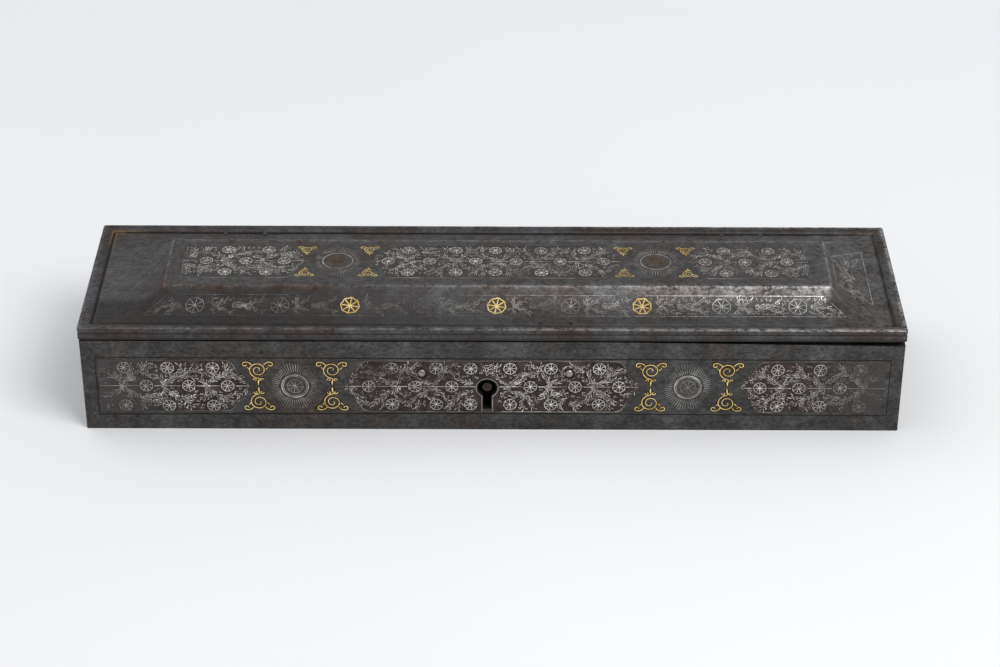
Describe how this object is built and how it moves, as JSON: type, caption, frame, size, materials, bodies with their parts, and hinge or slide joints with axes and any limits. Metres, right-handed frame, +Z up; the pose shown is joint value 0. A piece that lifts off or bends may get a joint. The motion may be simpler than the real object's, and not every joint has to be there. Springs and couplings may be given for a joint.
{
  "type": "pen box",
  "caption": "Long low iron pen box with a hinged lid that rises in a hollow cove to a flat panel inside a mitred moulding, and a sliding-bolt lock in the front wall.",
  "frame": {"origin": "centre of the underside of the body, on the surface that the box stands on", "axes": "+Z up, +X along the box to the right as seen from the keyhole side, -Y towards the keyhole side"},
  "size_m": [0.3, 0.0778, 0.0495],
  "materials": {
    "patinated_iron": "dark patinated iron, worn, damascened with silver and gold",
    "lock_iron": "dark iron, filed, slightly rusted",
    "hinge_iron": "dark iron, forged and filed",
    "spring_steel": "dull spring steel"
  },
  "bodies": {
    "body": {"bottom_plate": "patinated_iron", "front_wall": "patinated_iron", "back_wall": "patinated_iron", "left_end_wall": "patinated_iron", "right_end_wall": "patinated_iron", "left_hinge_body_leaf": "hinge_iron", "right_hinge_body_leaf": "hinge_iron", "left_hinge_pin": "hinge_iron", "right_hinge_pin": "hinge_iron", "body_leaf_rivets": "hinge_iron", "lock_plate": "lock_iron", "lock_rivets": "lock_iron", "left_bolt_guide": "lock_iron", "right_bolt_guide": "lock_iron", "pin_bridge": "lock_iron", "bridge_rivets": "lock_iron", "drill_pin": "lock_iron", "ward_ring": "lock_iron", "spring_post": "lock_iron", "bolt_spring": "spring_steel"},
    "lid": {"lid_panel": "patinated_iron", "lid_front_cove": "patinated_iron", "lid_back_cove": "patinated_iron", "lid_left_cove": "patinated_iron", "lid_right_cove": "patinated_iron", "lid_front_moulding": "patinated_iron", "lid_back_moulding": "patinated_iron", "lid_left_moulding": "patinated_iron", "lid_right_moulding": "patinated_iron", "lid_front_lip": "patinated_iron", "lid_left_lip": "patinated_iron", "lid_right_lip": "patinated_iron", "left_hinge_lid_leaf": "hinge_iron", "right_hinge_lid_leaf": "hinge_iron", "lid_leaf_rivets": "hinge_iron", "lock_staple": "lock_iron", "staple_rivets": "lock_iron"},
    "bolt": {"lock_bolt": "lock_iron"}
  },
  "joints": [
    {"name": "lid_hinge", "type": "hinge", "parent": "body", "child": "lid", "pos_m": [0, 0.03755, 0.03835], "axis": [-1, 0, 0], "range_deg": [0, 110]},
    {"name": "bolt_slide", "type": "slide", "parent": "body", "child": "bolt", "axis": [1, 0, 0], "range_m": [0, 0.006]}
  ]
}
